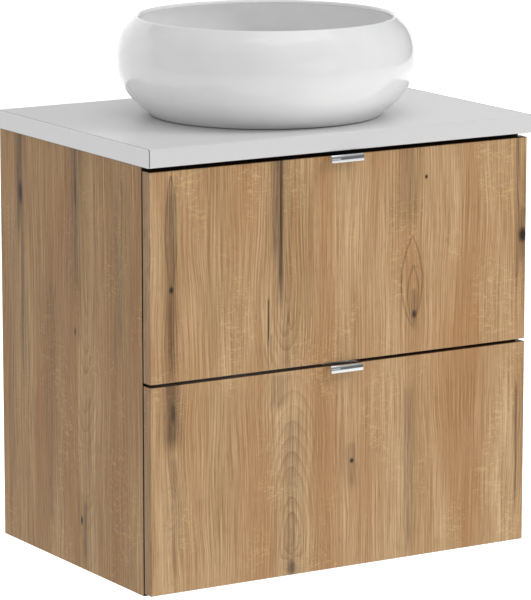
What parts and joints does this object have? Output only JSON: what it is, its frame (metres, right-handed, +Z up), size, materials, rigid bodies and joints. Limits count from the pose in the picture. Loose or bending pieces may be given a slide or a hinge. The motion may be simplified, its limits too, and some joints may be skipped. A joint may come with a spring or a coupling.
{
  "type": "vessel sink on vanity",
  "caption": "Wall-hung bathroom vanity with a round vessel basin on its worktop, sliding drawers with edge pulls, ball-bearing runners, click waste and bottle trap.",
  "frame": {"origin": "centre of the wall bolt pattern, on the wall plane", "axes": "+Z up, -Y out of the wall towards the user (the fronts face -Y), x = 0 the middle"},
  "size_m": [0.6, 0.426, 0.733],
  "materials": {
    "oak_decor": "matt oak decor on chipboard",
    "white_laminate": "satin white laminate on chipboard",
    "grey_board": "matt light grey melamine on chipboard",
    "glazed_white": "gloss white glaze",
    "chrome": "polished chrome plate",
    "zinc_steel": "bright zinc-plated steel",
    "brass": "turned brass",
    "white_plastic": "moulded white polypropylene",
    "rubber": "black moulded rubber",
    "silicone": "clear to white silicone",
    "beech": "turned beech dowel"
  },
  "bodies": {
    "cabinet": {"left_side_panel": "oak_decor", "right_side_panel": "oak_decor", "bottom_panel": "oak_decor", "front_top_rail": "oak_decor", "rear_top_rail": "oak_decor", "rear_lower_rail": "oak_decor", "carcass_dowels": "beech", "cam_fittings": "zinc_steel", "front_bumpers": "silicone", "worktop": "white_laminate", "worktop_left_edge_band": "white_laminate", "worktop_right_edge_band": "white_laminate", "worktop_brackets": "zinc_steel", "worktop_screws": "zinc_steel", "wall_plates": "zinc_steel", "hanger_housings": "white_plastic", "hanger_hooks": "zinc_steel", "hanger_screws": "zinc_steel", "runner_cabinet_members": "zinc_steel", "runner_cabinet_screws": "zinc_steel", "basin": "glazed_white", "basin_seal": "silicone", "waste_flange": "chrome", "waste_body": "brass", "waste_gasket": "rubber", "waste_backnut": "brass", "trap_nuts": "white_plastic", "trap_inlet_tube": "white_plastic", "trap_body": "white_plastic", "trap_cup": "white_plastic", "trap_outlet_pipe": "white_plastic"},
    "upper_drawer": {"upper_drawer_front": "oak_decor", "upper_drawer_subfront": "grey_board", "upper_drawer_left_side": "grey_board", "upper_drawer_right_side": "grey_board", "upper_drawer_bottom": "grey_board", "upper_drawer_screws": "zinc_steel", "upper_handle": "chrome", "upper_runner_drawer_members": "zinc_steel", "upper_drawer_left_back": "grey_board", "upper_drawer_right_back": "grey_board", "upper_drawer_trap_surround": "grey_board"},
    "lower_drawer": {"lower_drawer_front": "oak_decor", "lower_drawer_subfront": "grey_board", "lower_drawer_left_side": "grey_board", "lower_drawer_right_side": "grey_board", "lower_drawer_bottom": "grey_board", "lower_drawer_screws": "zinc_steel", "lower_handle": "chrome", "lower_runner_drawer_members": "zinc_steel", "lower_drawer_back": "grey_board"},
    "upper_runner_middles": {"upper_runner_middle_members": "zinc_steel"},
    "upper_outer_balls": {"upper_outer_ball_cages": "zinc_steel"},
    "upper_inner_balls": {"upper_inner_ball_cages": "zinc_steel"},
    "lower_runner_middles": {"lower_runner_middle_members": "zinc_steel"},
    "lower_outer_balls": {"lower_outer_ball_cages": "zinc_steel"},
    "lower_inner_balls": {"lower_inner_ball_cages": "zinc_steel"},
    "waste_plug": {"waste_plug": "chrome", "plug_seal": "rubber"}
  },
  "joints": [
    {"name": "upper_drawer_slide", "type": "slide", "parent": "cabinet", "child": "upper_drawer", "axis": [0, -1, 0], "range_m": [0, 0.35]},
    {"name": "upper_runner_middles_slide", "type": "slide", "parent": "cabinet", "child": "upper_runner_middles", "axis": [0, -1, 0], "range_m": [0, 0.175]},
    {"name": "upper_outer_balls_slide", "type": "slide", "parent": "cabinet", "child": "upper_outer_balls", "axis": [0, -1, 0], "range_m": [0, 0.0875]},
    {"name": "upper_inner_balls_slide", "type": "slide", "parent": "cabinet", "child": "upper_inner_balls", "axis": [0, -1, 0], "range_m": [0, 0.2625]},
    {"name": "lower_drawer_slide", "type": "slide", "parent": "cabinet", "child": "lower_drawer", "axis": [0, -1, 0], "range_m": [0, 0.35]},
    {"name": "lower_runner_middles_slide", "type": "slide", "parent": "cabinet", "child": "lower_runner_middles", "axis": [0, -1, 0], "range_m": [0, 0.175]},
    {"name": "lower_outer_balls_slide", "type": "slide", "parent": "cabinet", "child": "lower_outer_balls", "axis": [0, -1, 0], "range_m": [0, 0.0875]},
    {"name": "lower_inner_balls_slide", "type": "slide", "parent": "cabinet", "child": "lower_inner_balls", "axis": [0, -1, 0], "range_m": [0, 0.2625]},
    {"name": "waste_plug_press", "type": "slide", "parent": "cabinet", "child": "waste_plug", "axis": [0, 0, 1], "range_m": [-0.008, 0], "stiffness_N_per_m": 300, "springref_m": 0.012}
  ],
  "couplings": [
    {"joint": "upper_runner_middles_slide", "follows": "upper_drawer_slide", "ratio": 0.5},
    {"joint": "upper_outer_balls_slide", "follows": "upper_drawer_slide", "ratio": 0.25},
    {"joint": "upper_inner_balls_slide", "follows": "upper_drawer_slide", "ratio": 0.75},
    {"joint": "lower_runner_middles_slide", "follows": "lower_drawer_slide", "ratio": 0.5},
    {"joint": "lower_outer_balls_slide", "follows": "lower_drawer_slide", "ratio": 0.25},
    {"joint": "lower_inner_balls_slide", "follows": "lower_drawer_slide", "ratio": 0.75}
  ]
}
